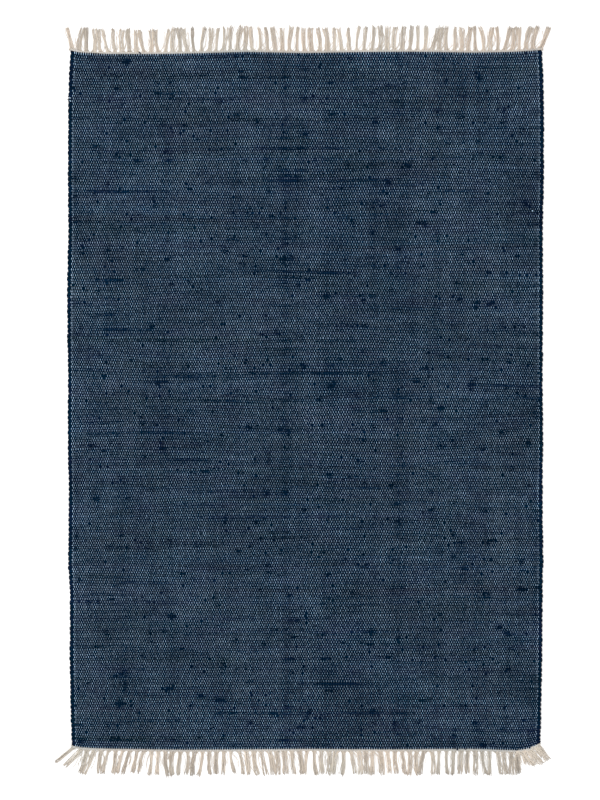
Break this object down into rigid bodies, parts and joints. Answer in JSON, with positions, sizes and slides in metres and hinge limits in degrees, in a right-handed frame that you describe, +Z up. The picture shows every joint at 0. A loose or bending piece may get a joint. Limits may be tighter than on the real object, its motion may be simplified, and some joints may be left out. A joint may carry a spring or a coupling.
{
  "type": "flat-woven rag rug",
  "caption": "Flat rectangular rug of navy rag strips woven close on a cotton warp, with a cream twined heading and a tufted warp fringe at both ends.",
  "frame": {"origin": "middle of the cloth's underside, on the floor", "axes": "+X across the rug, +Y along its length to the far end, +Z up from the floor through its thickness"},
  "size_m": [1.4565, 2.2078, 0.0066],
  "materials": {
    "navy_rag": "strips of navy recycled cloth, matt and uneven, dotted with rows of cream warp",
    "cream_cotton": "unbleached twisted cotton yarn, matt"
  },
  "bodies": {
    "root": {"rag_cloth": "navy_rag", "far_fringe": "cream_cotton", "near_fringe": "cream_cotton"}
  },
  "joints": []
}
